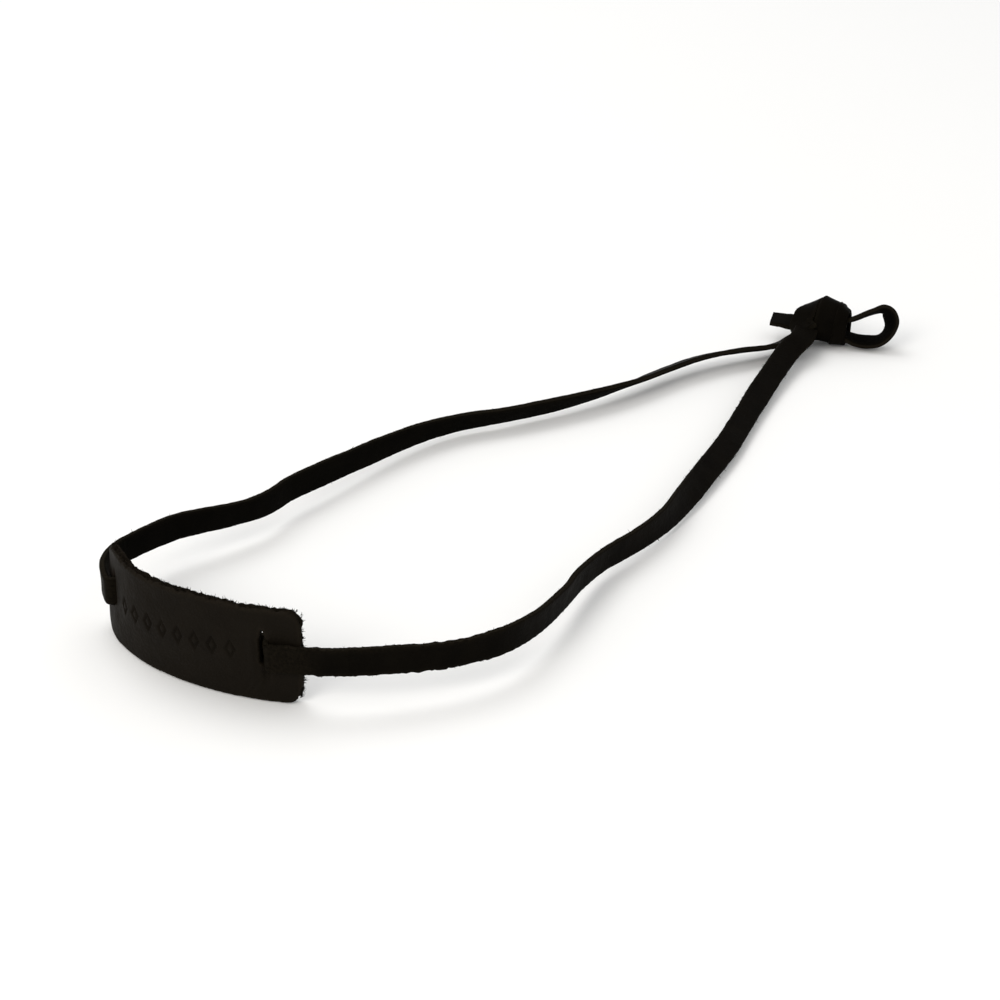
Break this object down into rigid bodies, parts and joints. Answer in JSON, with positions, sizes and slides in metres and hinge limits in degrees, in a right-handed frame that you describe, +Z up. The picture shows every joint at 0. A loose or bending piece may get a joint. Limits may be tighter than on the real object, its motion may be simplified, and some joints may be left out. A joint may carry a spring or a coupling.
{
  "type": "leather eyeglasses lace strap",
  "caption": "Flat black leather lace in one long loop, threaded through the slots of a curved leather tab and closed by a slipped knot with a small bow.",
  "frame": {"origin": "on the table, under the middle of the strap as it lies", "axes": "+X along the strap from the tab to the knot, +Y across the loop towards its left run, +Z up"},
  "size_m": [0.2331, 0.0828, 0.0205],
  "materials": {
    "tab_leather": "black vegetable-tanned leather with a matt grain face and rough fibrous cut edges",
    "lace_leather": "black split-leather lace, smooth grain outside and suede-like flesh inside"
  },
  "bodies": {
    "strap": {"lace_through_tab": "lace_leather", "lace_right_run": "lace_leather", "lace_left_run": "lace_leather", "knot_wraps": "lace_leather"},
    "tab": {"tab": "tab_leather"},
    "bow": {"bow_loop": "lace_leather"},
    "tail": {"knot_tail": "lace_leather"}
  },
  "joints": [
    {"name": "tab_slide", "type": "hinge", "parent": "strap", "child": "tab", "pos_m": [-0.0695, 0.0098, 0.0103], "axis": [0, 0, 1], "range_deg": [-7, 7], "deforming": ["lace_through_tab"]},
    {"name": "bow_draw", "type": "slide", "parent": "strap", "child": "bow", "axis": [0.454, -0.891, 0], "range_m": [-0.004, 0.0015], "deforming": ["bow_loop"]},
    {"name": "tail_pull", "type": "slide", "parent": "strap", "child": "tail", "axis": [0.454, -0.891, 0], "range_m": [-0.008, 0.003]}
  ],
  "couplings": [
    {"joint": "tail_pull", "follows": "bow_draw", "ratio": 2}
  ]
}
